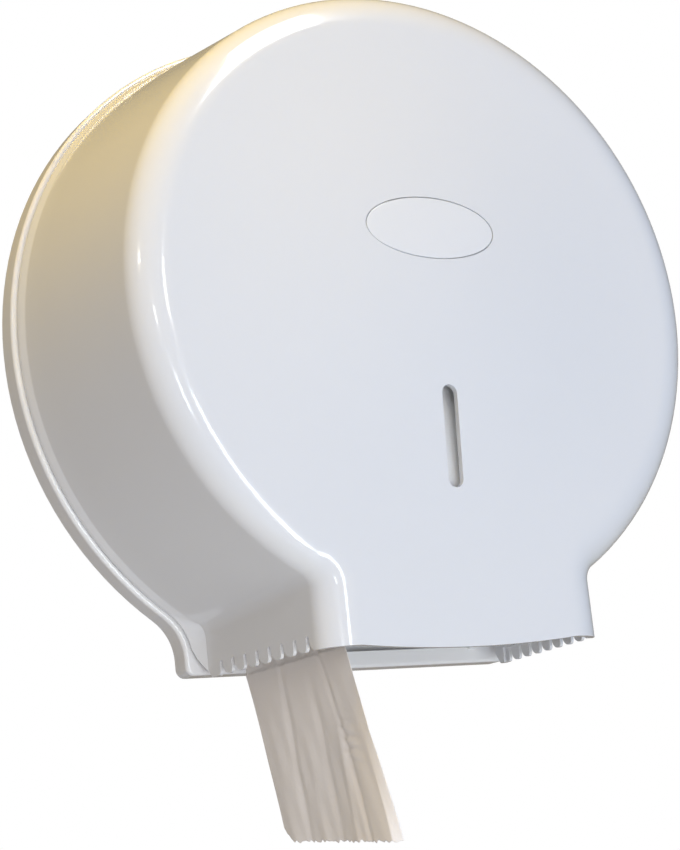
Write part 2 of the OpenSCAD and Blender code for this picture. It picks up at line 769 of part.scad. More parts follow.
module lock_cam() color([0.7, 0.71, 0.73]) difference() {
    thick = cam_thick - fit_gap;
    tang = tang_half + fit_gap;
    union() {
        bar_z(cam_hub_r, cam_bottom, cam_bottom + thick);
        translate([-cam_half_w, -lock_depth, cam_bottom])
            cube([2 * cam_half_w, cam_reach - cam_half_w, thick]);
        translate([0, cam_reach - cam_half_w - lock_depth, cam_bottom]) cylinder(r = cam_half_w, h = thick);
    }
    translate([-tang, -lock_depth - tang, cam_bottom - past])
        cube([2 * tang, 2 * tang, cam_thick + 2 * past]);
}

module cam_washer() color([0.78, 0.79, 0.8]) difference() {
    bar_z(washer_r, cam_bottom - washer_thick - fit_gap / 2, cam_bottom - fit_gap / 2);
    bar_z(cam_screw_r + fit_gap, cam_bottom - washer_thick - past, cam_bottom + past);
}

module cam_screw() color([0.78, 0.79, 0.8]) {
    seat = cam_bottom - washer_thick - fit_gap;
    difference() {
        union() {
            bar_z(cam_screw_r, seat - past, seat + cam_screw_bite);
            bar_z(cam_screw_head_r, seat - cam_screw_head, seat);
        }
        for (a = [0, 90]) translate([0, -lock_depth, seat - cam_screw_head]) rotate(a)
            cube([cross_long, cross_w, 2 * cross_deep], center = true);
    }
}

back_plate();
spindle();
spindle_screws();
spindle_cap();
cap_screw();
hinge_pin_left();
hinge_pin_right();
lock_strike();
strike_screws();
paper_tail();
core_adapter();
paper_core();
paper_roll();
front_cover();
badge_plate();
lock_barrel();
lock_nut();
lock_plug();
lock_cam();
cam_washer();
cam_screw();
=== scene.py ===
"""A wall dispenser for a jumbo toilet roll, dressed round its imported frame.

Metres, Z up. The roll's axis meets the wall at the origin, and the front faces -Y, so a
"depth" is a distance out from the wall. The sections follow the object as it is put
together: plate, spindle, roll, cover, badge, lock, and last the paper that hangs out.
"""

import json
import math

import bmesh
import bpy
from mathutils import Matrix, Vector

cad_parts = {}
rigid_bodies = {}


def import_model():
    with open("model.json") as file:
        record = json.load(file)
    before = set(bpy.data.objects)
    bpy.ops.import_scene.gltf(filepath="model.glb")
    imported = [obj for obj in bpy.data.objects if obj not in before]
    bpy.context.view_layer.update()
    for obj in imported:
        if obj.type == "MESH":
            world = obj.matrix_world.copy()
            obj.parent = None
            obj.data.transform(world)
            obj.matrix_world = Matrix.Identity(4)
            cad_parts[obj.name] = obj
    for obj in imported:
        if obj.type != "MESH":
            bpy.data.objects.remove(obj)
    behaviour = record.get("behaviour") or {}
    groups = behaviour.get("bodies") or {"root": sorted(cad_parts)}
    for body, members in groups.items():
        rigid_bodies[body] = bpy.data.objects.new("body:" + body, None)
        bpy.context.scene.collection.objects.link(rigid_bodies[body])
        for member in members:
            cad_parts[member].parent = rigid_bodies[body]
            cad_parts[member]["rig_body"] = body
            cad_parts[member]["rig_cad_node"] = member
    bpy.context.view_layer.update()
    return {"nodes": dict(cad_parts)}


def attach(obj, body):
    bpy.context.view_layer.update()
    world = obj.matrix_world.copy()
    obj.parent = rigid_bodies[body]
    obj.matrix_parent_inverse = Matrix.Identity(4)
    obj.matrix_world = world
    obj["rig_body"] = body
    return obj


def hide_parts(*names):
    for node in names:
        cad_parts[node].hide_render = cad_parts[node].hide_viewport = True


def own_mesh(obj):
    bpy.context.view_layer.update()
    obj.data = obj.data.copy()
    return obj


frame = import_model()
nodes = frame["nodes"]
MM = 0.001

# ---------------------------------------------------------------- camera
# The viewpoint of the photograph, from the lower left: a long lens, tipped up and rolled a
# little. The picture is 680 x 850, so the 36 mm sensor lies along its height.
EYE = Vector((-480.7, -830.4, -243.1)) * MM
TURN, TIP, ROLL = math.radians(30.713), math.radians(12.347), math.radians(-6.083)
LENS_PIXELS, PICTURE_HEIGHT, SENSOR = 2069.7, 850, 36.0

forward = Vector((math.sin(TURN) * math.cos(TIP), math.cos(TURN) * math.cos(TIP), math.sin(TIP)))
level = Vector((math.cos(TURN), -math.sin(TURN), 0.0))
upright = level.cross(forward)
right = level * math.cos(ROLL) + upright * math.sin(ROLL)
up = upright * math.cos(ROLL) - level * math.sin(ROLL)

bpy.ops.object.select_all(action="DESELECT")
bpy.ops.object.camera_add(location=EYE)
camera = bpy.context.active_object
camera.name = "camera"
camera.matrix_world = Matrix.Translation(EYE) @ Matrix((right, up, -forward)).transposed().to_4x4()
camera.data.sensor_width = SENSOR
camera.data.lens = LENS_PIXELS / PICTURE_HEIGHT * SENSOR
bpy.context.scene.camera = camera
bpy.context.scene.view_settings.view_transform = "Standard"


# ---------------------------------------------------------------- materials' toolkit
# Shader maths is written as plain expressions: a Socket adds Math nodes for +, *, ** and
# sines, and Finish makes any other node in one call and starts from a bare shader.
class Socket:
    def __init__(self, finish, out):
        self.finish, self.out = finish, out

    def _math(self, operation, *values):
        return self.finish.node("ShaderNodeMath", {"operation": operation}, dict(enumerate(values)))

    def __add__(self, other):
        return self._math("ADD", self, other)

    __radd__ = __add__

    def __mul__(self, other):
        return self._math("MULTIPLY", self, other)

    __rmul__ = __mul__

    def __pow__(self, other):
        return self._math("POWER", self, other)

    def sine(self):
        return self._math("SINE", self)


class Finish:
    """A material with a Principled shader, and short calls for the nodes that feed it."""

    def __init__(self, name, **shader):
        self.material = bpy.data.materials.new(name)
        self.material.use_nodes = True
        self.tree = self.material.node_tree
        self.tree.nodes.clear()
        self.shader = self.tree.nodes.new("ShaderNodeBsdfPrincipled")
        output = self.tree.nodes.new("ShaderNodeOutputMaterial")
        self.tree.links.new(self.shader.outputs[0], output.inputs[0])
        for socket, value in shader.items():
            self.shader.inputs[socket.replace("_", " ")].default_value = value

    def node(self, kind, settings, values, out=0):
        made = self.tree.nodes.new(kind)
        for key, value in settings.items():
            setattr(made, key, value)
        for key, value in values.items():
            self.put(made.inputs[key], value)
        return Socket(self, made.outputs[out])

    def put(self, socket, value):
        if isinstance(value, Socket):
            self.tree.links.new(value.out, socket)
        else:
            socket.default_value = value

    def feed(self, name, value):
        self.put(self.shader.inputs[name], value)
        return self

    def place(self):
        return self.node("ShaderNodeTexCoord", {}, {}, "Object")

    def mapped(self, scale):
        return self.node("ShaderNodeMapping", {}, {"Vector": self.place(), "Scale": scale})

    def noise(self, scale, detail=3.0, vector=None):
        values = {"Vector": vector or self.place(), "Scale": scale, "Detail": detail}
        return self.node("ShaderNodeTexNoise", {}, values)

    def axes(self):
        split = self.tree.nodes.new("ShaderNodeSeparateXYZ")
        self.put(split.inputs[0], self.place())
        return [Socket(self, split.outputs[k]) for k in range(3)]

    def blend(self, mask, first, second):
        rgba = lambda c: c if isinstance(c, Socket) else (*c, 1.0)
        values = {"Factor": mask, 6: rgba(first), 7: rgba(second)}
        return self.node("ShaderNodeMix", {"data_type": "RGBA"}, values, 2)

    def bump(self, height, distance, strength):
        values = {"Height": height, "Distance": distance, "Strength": strength}
        return self.feed("Normal", self.node("ShaderNodeBump", {}, values))


def wear(piece, finish):
    """Gives a piece, or a CAD node, this finish as its only material."""
    piece.data.materials.clear()
    piece.data.materials.append(finish.material)


# ---------------------------------------------------------------- light and floor
# Plain soft studio light: a pale even world, broad matt lamps from in front, above and below,
# cool and warm ones on the left, and lamps seen only as reflections on the glossy shoulder.
world = bpy.data.worlds.new("studio")
bpy.context.scene.world = world
world.use_nodes = True
sky = world.node_tree
sky.nodes.clear()
path = sky.nodes.new("ShaderNodeLightPath")
seen = sky.nodes.new("ShaderNodeBackground")
seen.inputs["Color"].default_value = (1, 1, 1, 1)
seen.inputs["Strength"].default_value = 1.0
soft = sky.nodes.new("ShaderNodeBackground")
soft.inputs["Color"].default_value = (1.0, 0.9, 0.75, 1)
soft.inputs["Strength"].default_value = 0.245
pick = sky.nodes.new("ShaderNodeMixShader")
sky_out = sky.nodes.new("ShaderNodeOutputWorld")
sky.links.new(path.outputs["Is Camera Ray"], pick.inputs[0])
sky.links.new(soft.outputs[0], pick.inputs[1])
sky.links.new(seen.outputs[0], pick.inputs[2])
sky.links.new(pick.outputs[0], sky_out.inputs[0])


def lamp(name, place, aim, size, watts, colour):
    bpy.ops.object.select_all(action="DESELECT")
    bpy.ops.object.light_add(type="AREA", location=place)
    light = bpy.context.active_object
    light.name = name
    light.data.shape = "RECTANGLE"
    light.data.size, light.data.size_y = size
    light.data.energy = watts
    light.data.color = colour
    light.rotation_euler = (Vector(aim) - Vector(place)).to_track_quat("-Z", "Y").to_euler()
    return light


def only(light, shine):
    """Lets a lamp light the matt part of a surface alone, or the shiny part alone."""
    light.visible_glossy = shine
    light.visible_diffuse = not shine


# Name, place, aim, width and height, watts, colour
MATT_LAMPS = (
    ("key", (0.76, -2.25, 2.12), (-0.07, -0.11, 0.1), (1.7, 0.6), 26.0, (0.08, 0.37, 1.0)),
    ("front_low", (0.35, -2.0, -0.95), (0, -0.11, -0.05), (1.2, 0.6), 12.0, (0.93, 1.0, 1.0)),
    ("front_left", (-0.45, -2.0, -0.75), (0, -0.11, -0.05), (1.0, 0.6), 10.5, (0.92, 0.93, 1.0)),
    ("left_front", (-0.95, -1.65, 0.75), (0, -0.11, -0.06), (1.6, 1.2), 8.8, (1, 1, 1)),
    ("left_side", (-2.0, -0.5, -0.1), (-0.1, -0.06, -0.05), (0.8, 1.0), 3.2, (1.0, 0.87, 0.78)),
    ("warm_ceiling", (-0.2, -0.16, 0.46), (-0.07, -0.08, 0.1), (0.3, 0.3), 1.75, (1.0, 0.65, 0.03)),
)
SHINY_LAMPS = (
    ("over", (0.387, -1.364, 1.731), (-0.07, -0.11, 0.1), (0.68, 1.16), 27.0, (0.95, 0.97, 1.0)),
    ("pane", (-0.71, -1.467, 0.258), (-0.132, -0.109, -0.015), (0.1, 0.09), 0.34, (1.0, 0.98, 0.93)),
    ("window", (-1.1, -0.83, 0.5), (-0.137, -0.107, 0.01), (0.2, 0.07), 0.5, (1.0, 0.95, 0.8)),
    ("tall_pane", (0.15, -1.62, 0.441), (-0.125, -0.111, 0), (0.12, 0.15), 0.72, (1.0, 0.97, 0.87)),
    ("streak", (-0.509, -1.662, -0.087), (-0.122, -0.11, -0.045), (0.12, 0.22), 0.8, (0.88, 0.95, 1.0)),
    ("line", (0.03, -1.48, -0.34), (-0.09, -0.11, -0.05), (0.12, 0.9), 4.4, (0.88, 0.95, 1.0)),
)
for settings in MATT_LAMPS:
    only(lamp(*settings), False)
for settings in SHINY_LAMPS:
    only(lamp(*settings), True)

FLOOR_SIZE, FLOOR_Z = 5, -1.2
bpy.ops.object.select_all(action="DESELECT")
bpy.ops.mesh.primitive_plane_add(size=FLOOR_SIZE, location=(0, 0, FLOOR_Z))
floor = bpy.context.active_object
floor.name = "floor"
floor_finish = Finish("pale_floor", Roughness=0.6)
floor_cloud = floor_finish.noise(3.0)
floor_finish.feed("Base Color", floor_finish.blend(floor_cloud, (0.86, 0.86, 0.86), (0.9, 0.9, 0.89)))
wear(floor, floor_finish)


# ---------------------------------------------------------------- modelling by hand
# What the first pieces need: an n-gon laid in a plane, pulled out into a solid, and cut from
# or joined to another piece. Every helper leaves one active object, in object mode.
def outline_face(name, points, place):
    """A filled outline: "place" turns each pair of numbers into a point in space."""
    bpy.ops.object.select_all(action="DESELECT")
    bpy.ops.mesh.primitive_circle_add(vertices=len(points), radius=1, fill_type="NGON")
    piece = bpy.context.active_object
    piece.name = name
    for vertex, point in zip(piece.data.vertices, points):
        vertex.co = place(*point)
    return piece


def solid_from(name, points, place, along):
    """The filled outline pulled out by the vector "along" into a closed solid."""
    piece = outline_face(name, points, place)
    bpy.ops.object.mode_set(mode="EDIT")
    bpy.ops.mesh.select_all(action="SELECT")
    bpy.ops.mesh.extrude_region_move(TRANSFORM_OT_translate={"value": along})
    bpy.ops.mesh.select_all(action="SELECT")
    bpy.ops.mesh.normals_make_consistent(inside=False)
    bpy.ops.object.mode_set(mode="OBJECT")
    return piece


def standing(depth):
    return lambda x, z: (x, -depth, z)


def arc(radius, start, stop, steps, centre=(0, 0)):
    """Points along an arc, in degrees, both ends included."""
    angles = [math.radians(start + (stop - start) * k / steps) for k in range(steps + 1)]
    return [(centre[0] + radius * math.cos(a), centre[1] + radius * math.sin(a)) for a in angles]


def stadium(half_width, low, high, steps=14):
    """An upright slot's outline with round ends."""
    return arc(half_width, 0, 180, steps, (0, high - half_width)) + arc(
        half_width, 180, 360, steps, (0, low + half_width)
    )


def bar(name, radius, start, stop, steps=64):
    """A round bar from one point to another, as a solid."""
    start, stop = Vector(start), Vector(stop)
    run = stop - start
    side = run.orthogonal().normalized()
    over = run.normalized().cross(side)
    ring = arc(radius, 0, 360 - 360 / steps, steps - 1)
    return solid_from(name, ring, lambda a, b: start + side * a + over * b, run)


def combine(piece, tool, operation):
    """Cuts the tool from the piece, or joins it on, and throws the tool away."""
    bpy.ops.object.select_all(action="DESELECT")
    piece.select_set(True)
    bpy.context.view_layer.objects.active = piece
    change = piece.modifiers.new("combine", "BOOLEAN")
    change.operation = operation
    change.solver = "EXACT"
    change.object = tool
    bpy.ops.object.modifier_apply(modifier=change.name)
    bpy.data.objects.remove(tool)


def finish_edges(piece, width, angle=35, segments=2):
    """Rounds the hard edges a little and keeps the broad faces' shading clean."""
    bpy.ops.object.select_all(action="DESELECT")
    piece.select_set(True)
    bpy.context.view_layer.objects.active = piece
    if width:
        round_off = piece.modifiers.new("round", "BEVEL")
        round_off.width = width
        round_off.segments = segments
        round_off.limit_method = "ANGLE"
        round_off.angle_limit = math.radians(angle)
        bpy.ops.object.modifier_apply(modifier=round_off.name)
    bpy.ops.object.shade_smooth_by_angle(angle=math.radians(angle))
    even = piece.modifiers.new("even", "WEIGHTED_NORMAL")
    even.keep_sharp = True
    bpy.ops.object.modifier_apply(modifier=even.name)


def clean_copy(node, name, width, angle=30, segments=2):
    """A CAD node's shape as a mended mesh, with its hard edges rounded. The node is replaced."""
    bpy.ops.object.select_all(action="DESELECT")
    piece = nodes[node].copy()
    piece.data = nodes[node].data.copy()
    piece.name = name
    piece.parent = None
    piece.matrix_world = Matrix.Identity(4)
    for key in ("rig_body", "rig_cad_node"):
        del piece[key]
    bpy.context.scene.collection.objects.link(piece)
    piece.select_set(True)
    bpy.context.view_layer.objects.active = piece
    bpy.ops.object.mode_set(mode="EDIT")
    bpy.ops.mesh.select_all(action="SELECT")
    bpy.ops.mesh.remove_doubles(threshold=0.00001)
    bpy.ops.mesh.dissolve_limited(angle_limit=math.radians(0.6))
    bpy.ops.object.mode_set(mode="OBJECT")
    finish_edges(piece, width, angle, segments)
    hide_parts(node)
    return piece


# ---------------------------------------------------------------- back plate
# The shallow white tray that is screwed to the wall. It is injection moulded in one piece,
# with a hollow rim, ribs, two hinge ears and bosses, in the same plastic as the cover.
plate_plastic = Finish("plate_plastic", Coat_Weight=0.6)
plate_plastic.shader.inputs["Coat Roughness"].default_value = 0.06
plate_cloud = plate_plastic.noise(9.0, 4.0)
plate_plastic.feed(
    "Base Color", plate_plastic.blend(plate_cloud, (0.82, 0.825, 0.84), (0.85, 0.855, 0.87))
)
plate_plastic.feed("Roughness", 0.12 + 0.08 * plate_plastic.noise(60.0, 4.0))
plate_plastic.bump(plate_plastic.noise(90.0, 2.0), 0.00002, 0.35)

RIM_R, RIM_NECK, RIM_BLEND, RIM_DROP, RIM_DEPTH, RIM_SOFT = 155.0, 85.0, 23.0, 149.2, 11.3, 1.6
# An edge belongs to the rim's front when it is this near to it in depth, and this near outside
NEAR_FRONT, NEAR_OUTSIDE = 0.05, 1.3


def off_rim(x, z):
    """How far, in millimetres, a point lies inside the plate's outline."""
    side = RIM_NECK + RIM_BLEND
    centre_z = -math.sqrt((RIM_R + RIM_BLEND) ** 2 - side**2)
    meet_z = centre_z * RIM_R / (RIM_R + RIM_BLEND)
    if z > meet_z or math.atan2(z, abs(x)) > math.atan2(centre_z, side):
        return RIM_R - math.hypot(x, z)
    if z > centre_z:
        return math.hypot(abs(x) - side, z - centre_z) - RIM_BLEND
    return min(RIM_NECK - abs(x), z + RIM_DROP)


plate = clean_copy("back_plate", "back_plate_moulding", 0)
bpy.ops.object.mode_set(mode="EDIT")
bpy.ops.mesh.select_mode(type="EDGE")
rim = bmesh.from_edit_mesh(plate.data)
for edge in rim.edges:
    ends = [v.co / MM for v in edge.verts]
    at_front = all(abs(co.y + RIM_DEPTH) < NEAR_FRONT for co in ends)
    edge.select_set(at_front and all(off_rim(co.x, co.z) < NEAR_OUTSIDE for co in ends))
rim.select_flush_mode()
bpy.ops.mesh.bevel(offset=RIM_SOFT * MM, segments=6, affect="EDGES")
bpy.ops.object.mode_set(mode="OBJECT")
finish_edges(plate, 0.4 * MM, 40, 2)
wear(plate, plate_plastic)
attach(plate, "plate")

# ---------------------------------------------------------------- spindle, cap and screws
# A moulded post with a foot, held by four screws, and a round cap with one screw that keeps
# the roll's adapter on. Zinc-plated pan-head screws, pins and a bent steel keeper.
steel = Finish("zinc_plate", Metallic=1.0, Roughness=0.3)
steel_cloud = steel.noise(90.0, 5.0)
steel.feed("Base Color", steel.blend(steel_cloud, (0.55, 0.56, 0.58), (0.74, 0.75, 0.76)))
steel.feed("Roughness", 0.22 + 0.2 * steel.noise(260.0, 3.0))
steel.bump(steel.noise(900.0, 2.0), 0.00002, 0.5)

for node, width, finish in (
    ("spindle", 0.5, plate_plastic),
    ("spindle_cap", 0.7, plate_plastic),
    ("spindle_screws", 0.2, steel),
    ("cap_screw", 0.2, steel),
    ("hinge_pin_left", 0.3, steel),
    ("hinge_pin_right", 0.3, steel),
    ("lock_strike", 0.4, steel),
    ("strike_screws", 0.2, steel),
):
    made = clean_copy(node, node + "_made", width * MM)
    wear(made, finish)
    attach(made, "plate")

# ---------------------------------------------------------------- roll
# Soft two-ply tissue wound on a cardboard core, on a grey moulded adapter. The end faces show
# the edges of the layers as fine rings, and the outside is embossed with small dimples.
adapter_plastic = Finish("adapter_plastic", Roughness=0.5)
adapter_cloud = adapter_plastic.noise(40.0)
adapter_plastic.feed(
    "Base Color", adapter_plastic.blend(adapter_cloud, (0.19, 0.21, 0.24), (0.24, 0.26, 0.29))
)
adapter_plastic.bump(adapter_plastic.noise(700.0), 0.00005, 0.6)

cardboard = Finish("core_board", Roughness=0.85)
board_fibre = cardboard.noise(160.0, 6.0, cardboard.mapped((1.0, 0.25, 1.0)))
cardboard.feed("Base Color", cardboard.blend(board_fibre, (0.34, 0.24, 0.15), (0.5, 0.39, 0.27)))
cardboard.bump(board_fibre, 0.0001, 0.8)

TISSUE_PALE, TISSUE_DEEP = (0.985, 0.95, 0.92), (0.94, 0.895, 0.855)
tissue = Finish("tissue", Roughness=0.9)
tissue.shader.inputs["Sheen Weight"].default_value = 0.25
tissue_cloud = tissue.noise(35.0, 5.0)
tissue.feed("Base Color", tissue.blend(tissue_cloud, TISSUE_DEEP, TISSUE_PALE))
crepe = tissue.noise(900.0, 3.0, tissue.mapped((1.0, 1.0, 0.35)))
tissue.bump(crepe, 0.00012, 0.7)

for node, width, finish, slot in (
    ("core_adapter", 0.4, adapter_plastic, "grey_plastic"),
    ("paper_core", 0.2, cardboard, "cardboard"),
):
    made = clean_copy(node, node + "_made", width * MM)
    wear(made, finish)
    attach(made, "roll")

wound = Finish("wound_tissue", Roughness=0.92)
wound.shader.inputs["Sheen Weight"].default_value = 0.2
across_x, _, across_z = wound.axes()
from_axis = (across_x * across_x + across_z * across_z) ** 0.5
layers = (from_axis * 9000.0 + wound.noise(30.0) * 6.0).sine()
wound.feed("Base Color", wound.blend(0.5 + 0.5 * layers, (0.92, 0.92, 0.91), (0.96, 0.96, 0.95)))
wound.bump(layers + wound.noise(500.0, 3.0) * 2.0, 0.00005, 0.5)
roll = clean_copy("paper_roll", "paper_roll_made", 1.2 * MM, segments=3)
wear(roll, wound)
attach(roll, "roll")

# ---------------------------------------------------------------- front cover
# The round glossy cover, injection moulded in white plastic with a wall of 2.8 mm. Its lip
# flares out to meet the plate's rim, its shoulder is broad and soft, and its face is domed.
LIP_R, LIP_NECK, LIP_BLEND = 152.6, 82.0, 26.0
WALL_R, WALL_NECK, WALL_BLEND = 150.6, 77.5, 8.0
SHOULDER_R, SHOULDER_NECK = 140.7, 69.7
COVER_DROP, FOOT_BOW, COVER_WALL = 151.3, 2.6, 2.8
LIP_DEPTH, LIP_EDGE, WALL_DEPTH = 12.2, 1.0, 17.8
FACE_DEPTH, DOME_RISE = 110.6, 6.6
SHOULDER_DEEP, SHOULDER_WIDE = 12.0, 16.1
DOME_R = SHOULDER_R - SHOULDER_WIDE
FACE_MIDDLE = -45.0
ARC_STEPS, BLEND_STEPS, NECK_STEPS, FOOT_STEPS = 56, 12, 3, 10


def cover_outline(radius, neck, blend):
    """The cover's outline in X and Z, in millimetres: disc, blends, neck and bowed foot."""
    centre = (neck + blend, -math.sqrt((radius + blend) ** 2 - (neck + blend) ** 2))
    meet = math.degrees(math.atan2(centre[1], centre[0]))
    half = arc(radius, 90, meet, ARC_STEPS)
    half += arc(blend, 180 + meet, 180, BLEND_STEPS, centre)[1:]
    for k in range(1, NECK_STEPS):
        half.append((neck, centre[1] + (-COVER_DROP - centre[1]) * k / NECK_STEPS))
    for k in range(FOOT_STEPS + 1):
        x = neck * (1 - k / FOOT_STEPS)
        half.append((x, -COVER_DROP - FOOT_BOW * (1 - (x / neck) ** 2)))
    return half + [(-x, z) for x, z in half[-2:0:-1]]


def dome(x, z):
    """How far the domed face stands out over its edge."""
    return DOME_RISE * math.cos(math.pi / 2 * min(1.0, math.hypot(x, z) / DOME_R)) ** 2


def shoulder_ring(turn):
    """One ring of the soft shoulder, from the side wall (0) to the face (90 degrees)."""
    drawn = SHOULDER_WIDE * (1 - math.cos(math.radians(turn)))
    depth = FACE_DEPTH - SHOULDER_DEEP * (1 - math.sin(math.radians(turn)))
    ring = cover_outline(SHOULDER_R - drawn, SHOULDER_NECK - drawn, WALL_BLEND + drawn)
    return [(x, depth, z) for x, z in ring]


def lip_ring(share):
    """One ring of the lip's flare: full lip at 0, side wall at 1."""
    mix = lambda a, b: a + (b - a) * share
    ring = cover_outline(mix(LIP_R, WALL_R), mix(LIP_NECK, WALL_NECK), mix(LIP_BLEND, WALL_BLEND))
    depth = LIP_DEPTH + LIP_EDGE + (WALL_DEPTH - LIP_DEPTH - LIP_EDGE) * share
    return [(x, depth, z) for x, z in ring]


def side_ring(share):
    """One ring of the side wall, which narrows to the front so that it leaves its mould."""
    mix = lambda a, b: a + (b - a) * share
    ring = cover_outline(mix(WALL_R, SHOULDER_R), mix(WALL_NECK, SHOULDER_NECK), WALL_BLEND)
    return [(x, mix(WALL_DEPTH, FACE_DEPTH - SHOULDER_DEEP), z) for x, z in ring]


def face_ring(share):
    """One ring of the face, drawn in towards its middle by the share left."""
    ring = []
    for x, depth, z in shoulder_ring(90):
        near_x, near_z = x * share, FACE_MIDDLE + (z - FACE_MIDDLE) * share
        ring.append((near_x, FACE_DEPTH + dome(near_x, near_z), near_z))
    return ring


def next_ring(piece, chain, points, extrude):
    """Extrudes the ring whose vertices have the numbers in "chain", and gives the new ring's."""
    extrude()
    grid = bmesh.from_edit_mesh(piece.data)
    grid.verts.ensure_lookup_table()
    grown = []
    for index in chain:
        old = grid.verts[index]
        ends = (edge.other_vert(old) for edge in old.link_edges)
        grown.append(next(end for end in ends if end.select))
    for vertex, point in zip(grown, points):
        vertex.co = point
    grid.verts.index_update()
    return [vertex.index for vertex in grown]


LIP_RINGS, SIDE_RINGS, SHOULDER_RINGS, FACE_RINGS, FACE_DRAWN = 4, 6, 14, 18, 0.9
cover_rings = [[(x, LIP_DEPTH, z) for x, z in cover_outline(LIP_R, LIP_NECK, LIP_BLEND)]]
cover_rings += [lip_ring(k / LIP_RINGS) for k in range(LIP_RINGS + 1)]
cover_rings += [side_ring(k / SIDE_RINGS) for k in range(1, SIDE_RINGS)]
cover_rings += [shoulder_ring(90 * k / SHOULDER_RINGS) for k in range(SHOULDER_RINGS + 1)]
cover_rings += [face_ring(1 - FACE_DRAWN * k / FACE_RINGS) for k in range(1, FACE_RINGS + 1)]
cover_points = [[Vector((x, -depth, z)) * MM for x, depth, z in ring] for ring in cover_rings]

bpy.ops.object.select_all(action="DESELECT")
bpy.ops.mesh.primitive_circle_add(vertices=len(cover_rings[0]), radius=1)
cover = bpy.context.active_object
cover.name = "front_cover_shell"
bpy.ops.object.mode_set(mode="EDIT")
bpy.ops.mesh.select_all(action="SELECT")
shell = bmesh.from_edit_mesh(cover.data)
for vertex, point in zip(shell.verts, cover_points[0]):
    vertex.co = point
chain = range(len(cover_points[0]))
for points in cover_points[1:]:
    chain = next_ring(cover, chain, points, bpy.ops.mesh.extrude_region_move)
bpy.ops.mesh.extrude_region_move()
bpy.ops.mesh.merge(type="CENTER")
# The foot is open between the side walls: its strip of faces goes
shell = bmesh.from_edit_mesh(cover.data)
for face in shell.faces:
    face.select_set(all(v.co.z < (-COVER_DROP + 0.01) * MM for v in face.verts))
bmesh.update_edit_mesh(cover.data)
bpy.ops.mesh.delete(type="FACE")
bpy.ops.mesh.select_all(action="SELECT")
bpy.ops.mesh.normals_make_consistent(inside=False)
bpy.ops.object.mode_set(mode="OBJECT")
wall = cover.modifiers.new("wall", "SOLIDIFY")
wall.thickness = COVER_WALL * MM
wall.offset = -1
wall.use_even_offset = True
bpy.ops.object.modifier_apply(modifier=wall.name)

# Bosses for the hinge pins on the inside of the neck, and the pad under the lock
HINGE_DEPTH, HINGE_Z, PIN_BORE, BOSS_R = 41.5, -131.0, 3.06, 7.0
BOSS_IN, BOSS_OUT, BORE_END = 67.7, 73.3, 71.9
LOCK_DEPTH, LOCK_PAD_R, LOCK_BORE, LOCK_PAD = 30.0, 11.5, 7.65, (142.0, 151.4)
for side in (-1, 1):
    at_hinge = lambda x: Vector((side * x, -HINGE_DEPTH, HINGE_Z)) * MM
    combine(cover, bar("boss", BOSS_R * MM, at_hinge(BOSS_IN), at_hinge(BOSS_OUT)), "UNION")
    combine(cover, bar("bore", PIN_BORE * MM, at_hinge(BOSS_IN - 1), at_hinge(BORE_END)), "DIFFERENCE")
at_lock = lambda z: Vector((0, -LOCK_DEPTH, z)) * MM
combine(cover, bar("pad", LOCK_PAD_R * MM, at_lock(LOCK_PAD[0]), at_lock(LOCK_PAD[1])), "UNION")
lock_bore = bar("bore", LOCK_BORE * MM, at_lock(LOCK_PAD[0] - 1), at_lock(LOCK_PAD[1] + 1))
combine(cover, lock_bore, "DIFFERENCE")

# The lower rear corners, cut to an arc about the hinge
RELIEF_R, RELIEF_PAST, CUT_HALF = HINGE_DEPTH - LIP_DEPTH, 5, 90
corner = arc(RELIEF_R, 0, -90, 24, (-HINGE_DEPTH, HINGE_Z))
relief_foot = HINGE_Z - RELIEF_R - RELIEF_PAST
corner += [(-HINGE_DEPTH, relief_foot), (RELIEF_PAST, relief_foot), (RELIEF_PAST, HINGE_Z)]
across = Vector((2 * CUT_HALF * MM, 0, 0))
cut = solid_from("corner", corner, lambda y, z: Vector((-CUT_HALF, y, z)) * MM, across)
combine(cover, cut, "DIFFERENCE")

# The edge that tears the paper is thin: the walls are pared from the inside behind the teeth
TEAR_EDGE, PARE_FROM, PARE_TO, TOOTH_RISE = 1.5, 24.0, 98.0, 6.4
PARE_BELOW, PARE_HIGH = 4, 4.5
neck_at = lambda depth: WALL_NECK + (SHOULDER_NECK - WALL_NECK) * (depth - WALL_DEPTH) / (
    FACE_DEPTH - SHOULDER_DEEP - WALL_DEPTH
)
for side in (-1, 1):
    outer = [(side * (neck_at(depth) - TEAR_EDGE), depth) for depth in (PARE_FROM, PARE_TO)]
    inner = [(side * (neck_at(depth) - 2 * COVER_WALL), depth) for depth in (PARE_TO, PARE_FROM)]
    pare = solid_from(
        "pare", outer + inner, lambda x, depth: Vector((x, -depth, -COVER_DROP - PARE_BELOW)) * MM,
        Vector((0, 0, (TOOTH_RISE + PARE_HIGH) * MM)),
    )
    combine(cover, pare, "DIFFERENCE")

# Slits between the tear teeth, through both side walls of the neck. The teeth lean to the rear:
# each front corner is a wide round, each rear corner a small one
TOOTH_GAPS, TOOTH_PITCH, TOOTH_START, TOOTH_HALF = 8, 9.5, 28.5, 1.1
HEEL, TOE, GAP_BELOW = 4.5, 1.8, 4
gap = arc(TOOTH_HALF, 0, 180, 8, (0, TOOTH_RISE - TOOTH_HALF))
gap += arc(HEEL, 0, -90, 10, (-TOOTH_HALF - HEEL, HEEL))
gap += [(-TOOTH_HALF - HEEL, -GAP_BELOW), (TOOTH_HALF + TOE, -GAP_BELOW)]
gap += arc(TOE, -90, -180, 5, (TOOTH_HALF + TOE, TOE))
for k in range(TOOTH_GAPS):
    depth = TOOTH_START + TOOTH_PITCH * k
    cut = solid_from(
        "gap", gap, lambda y, z: Vector((-CUT_HALF, y - depth, z - COVER_DROP)) * MM, across
    )
    combine(cover, cut, "DIFFERENCE")

